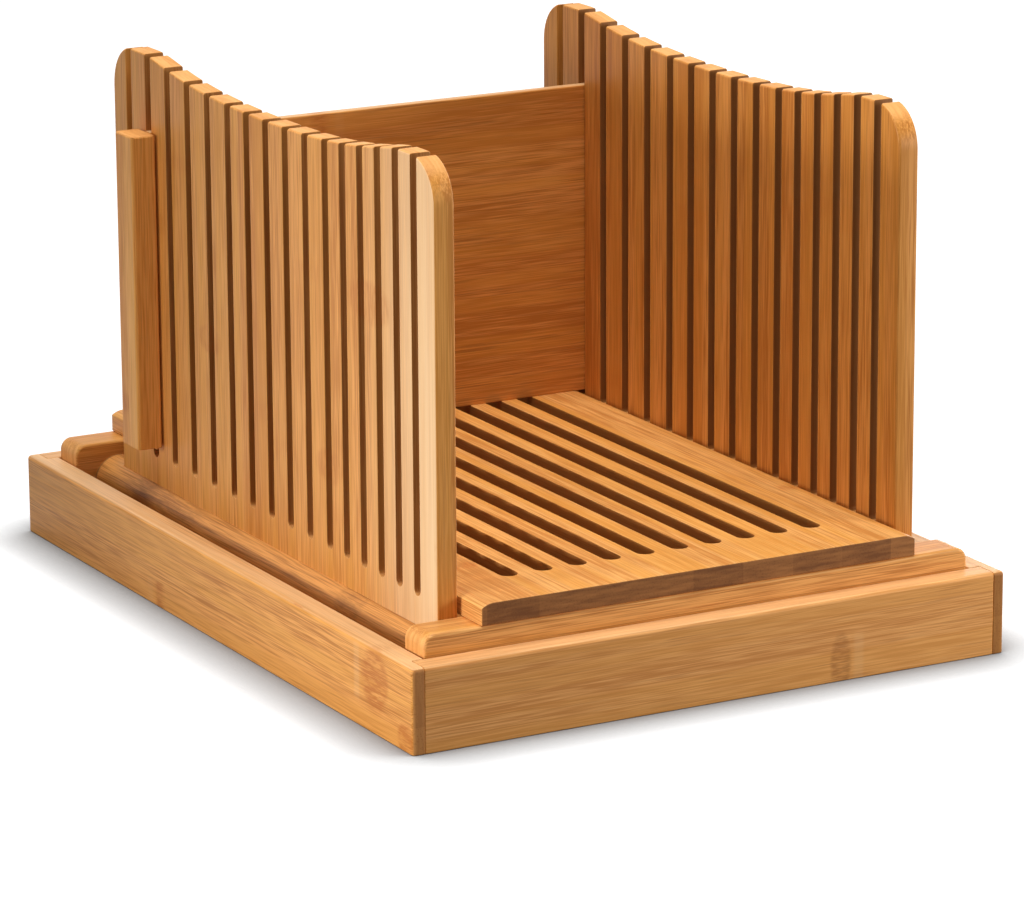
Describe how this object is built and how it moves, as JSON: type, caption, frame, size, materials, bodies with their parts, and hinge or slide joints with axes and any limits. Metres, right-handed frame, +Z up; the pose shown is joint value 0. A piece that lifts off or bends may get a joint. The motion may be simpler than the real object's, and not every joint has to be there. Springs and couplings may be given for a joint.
{
  "type": "bread slicer guide",
  "caption": "Bread slicing guide with slotted side guides on turning rails, a lift-out stop, and a slotted floor that stands in a crumb tray.",
  "frame": {"origin": "on the bench, under the middle of the crumb tray", "axes": "+X across the tray, +Y from the open front to the back with the stop, +Z up"},
  "size_m": [0.241, 0.325, 0.199],
  "materials": {
    "bamboo_tray": "carbonised bamboo, fine lengthwise grain, light oil",
    "bamboo_crossbar": "carbonised bamboo, light oil",
    "bamboo_floor": "carbonised bamboo, light oil",
    "bamboo_guide": "carbonised bamboo, upright grain, light oil",
    "bamboo_rail": "turned bamboo, light oil",
    "bamboo_pin": "turned bamboo dowel, plain",
    "bamboo_stop": "carbonised bamboo, light oil",
    "steel_screw": "zinc plated"
  },
  "bodies": {
    "crumb_tray": {"tray_left_side": "bamboo_tray", "tray_right_side": "bamboo_tray", "tray_front": "bamboo_tray", "tray_back": "bamboo_tray", "tray_bottom": "bamboo_tray"},
    "base": {"front_crossbar": "bamboo_crossbar", "rear_crossbar": "bamboo_crossbar", "floor_board": "bamboo_floor", "floor_screws": "steel_screw"},
    "left_guide_body": {"left_guide": "bamboo_guide", "left_rail": "bamboo_rail", "left_front_pin": "bamboo_pin", "left_rear_pin": "bamboo_pin"},
    "right_guide_body": {"right_guide": "bamboo_guide", "right_rail": "bamboo_rail", "right_front_pin": "bamboo_pin", "right_rear_pin": "bamboo_pin"},
    "stop": {"stop_plate": "bamboo_stop", "left_stop_batten": "bamboo_stop", "right_stop_batten": "bamboo_stop"}
  },
  "joints": [
    {"name": "base_lift", "type": "slide", "parent": "crumb_tray", "child": "base", "axis": [0, 0, 1], "range_m": [0, 0.06]},
    {"name": "stop_lift", "type": "slide", "parent": "base", "child": "stop", "axis": [0, 0, 1], "range_m": [0, 0.16]},
    {"name": "left_guide_swing", "type": "hinge", "parent": "base", "child": "left_guide_body", "pos_m": [-0.0933, 0, 0.0236], "axis": [0, 1, 0], "range_deg": [0, 2.5]},
    {"name": "right_guide_swing", "type": "hinge", "parent": "base", "child": "right_guide_body", "pos_m": [0.0933, 0, 0.0236], "axis": [0, -1, 0], "range_deg": [0, 2.5]}
  ]
}
